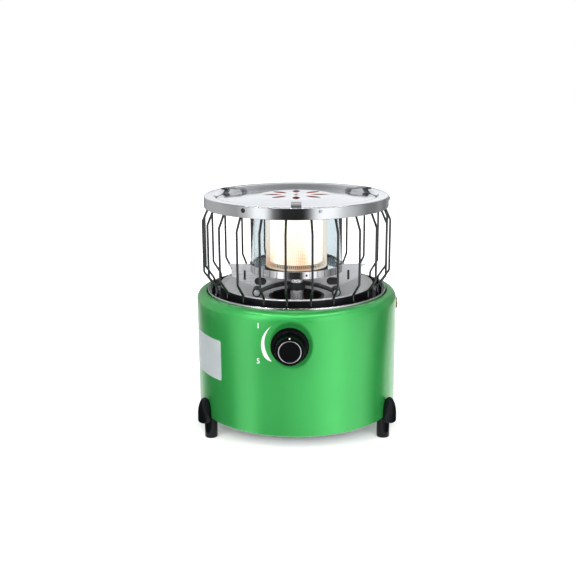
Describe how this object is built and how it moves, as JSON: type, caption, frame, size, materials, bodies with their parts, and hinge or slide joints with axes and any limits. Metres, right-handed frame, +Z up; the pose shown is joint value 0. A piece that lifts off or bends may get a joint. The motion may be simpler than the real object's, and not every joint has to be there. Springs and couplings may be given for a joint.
{
  "type": "portable propane heater",
  "caption": "Round tabletop gas heater: drum base with a control knob, burner under a glass chimney, upright wire guard, pot-rest top plate and stub feet.",
  "frame": {"origin": "on the ground below the middle of the drum", "axes": "+Z up; -Y is the front, where the knob is; +X to the right as seen from the front"},
  "size_m": [0.218, 0.2472, 0.2543],
  "materials": {
    "green_paint": "gloss enamel on sheet steel",
    "black_plastic": "satin to gloss moulded black",
    "polished_steel": "polished stainless sheet",
    "chromed_wire": "bright plated wire",
    "bowl_steel": "polished and lightly brushed sheet",
    "black_enamel": "heatproof matt black",
    "zinc_plate": "zinc-plated steel",
    "brass": "turned brass",
    "copper": "drawn copper",
    "clear_glass": "clear heatproof glass",
    "glowing_mesh": "heat-resisting alloy mesh, lit",
    "white_ceramic": "glazed white",
    "white_plastic": "white moulded",
    "lead_sleeve": "red silicone sleeve",
    "bare_aluminium": "bare satin plate"
  },
  "bodies": {
    "heater": {"drum_wall_front": "green_paint", "drum_wall_left": "green_paint", "drum_wall_right": "green_paint", "drum_shoulder": "green_paint", "drum_base_ring": "green_paint", "knob_seat": "green_paint", "foot_front_left": "black_plastic", "foot_front_right": "black_plastic", "foot_rear": "black_plastic", "top_plate": "polished_steel", "pot_support_front": "polished_steel", "pot_support_left": "polished_steel", "pot_support_right": "polished_steel", "guard_base_ring": "polished_steel", "guard_top_ring": "polished_steel", "chimney_collar": "polished_steel", "skirt_rivets": "polished_steel", "vent_rivet": "polished_steel", "guard_wires": "chromed_wire", "reflector_bowl": "bowl_steel", "back_reflector": "bowl_steel", "mixing_tube": "bowl_steel", "burner_tray": "bowl_steel", "burner_bridge": "black_enamel", "burner_cup": "black_enamel", "burner_head": "black_enamel", "base_plate": "zinc_plate", "foot_screws": "zinc_plate", "support_post_front": "zinc_plate", "support_post_rear": "zinc_plate", "support_post_left": "zinc_plate", "post_screws": "zinc_plate", "bowl_screws": "zinc_plate", "bridge_screws": "zinc_plate", "skirt_screws": "zinc_plate", "tap_cover": "zinc_plate", "tap_screws": "zinc_plate", "safety_magnet": "zinc_plate", "injector": "brass", "injector_holder": "brass", "inlet_union": "brass", "inlet_locknut": "brass", "tap_body": "brass", "gas_pipe_inlet": "copper", "gas_pipe_burner": "copper", "thermocouple": "copper", "thermocouple_lead": "copper", "glass_chimney": "clear_glass", "radiant_mesh": "glowing_mesh", "ignition_electrode": "white_ceramic", "piezo_igniter": "white_plastic", "ignition_lead": "lead_sleeve", "rating_plate": "bare_aluminium"},
    "gas_plug": {"tap_plug": "brass", "spindle_spring": "zinc_plate"},
    "control_knob": {"spindle": "zinc_plate", "knob": "black_plastic", "knob_ring": "polished_steel", "knob_pointer": "white_plastic"},
    "poppet": {"magnet_poppet": "zinc_plate"}
  },
  "joints": [
    {"name": "knob_turn", "type": "hinge", "parent": "heater", "child": "gas_plug", "pos_m": [-0.0068, -0.08, 0.118], "axis": [0, -1, 0], "range_deg": [0, 120]},
    {"name": "knob_push", "type": "slide", "parent": "gas_plug", "child": "control_knob", "axis": [0, 1, 0], "range_m": [0, 0.003], "stiffness_N_per_m": 800, "springref_m": -0.002, "deforming": ["spindle_spring"]},
    {"name": "poppet_lift", "type": "slide", "parent": "heater", "child": "poppet", "axis": [0, 1, 0], "range_m": [0, 0.003]}
  ],
  "couplings": [
    {"joint": "poppet_lift", "follows": "knob_push", "ratio": 1}
  ]
}
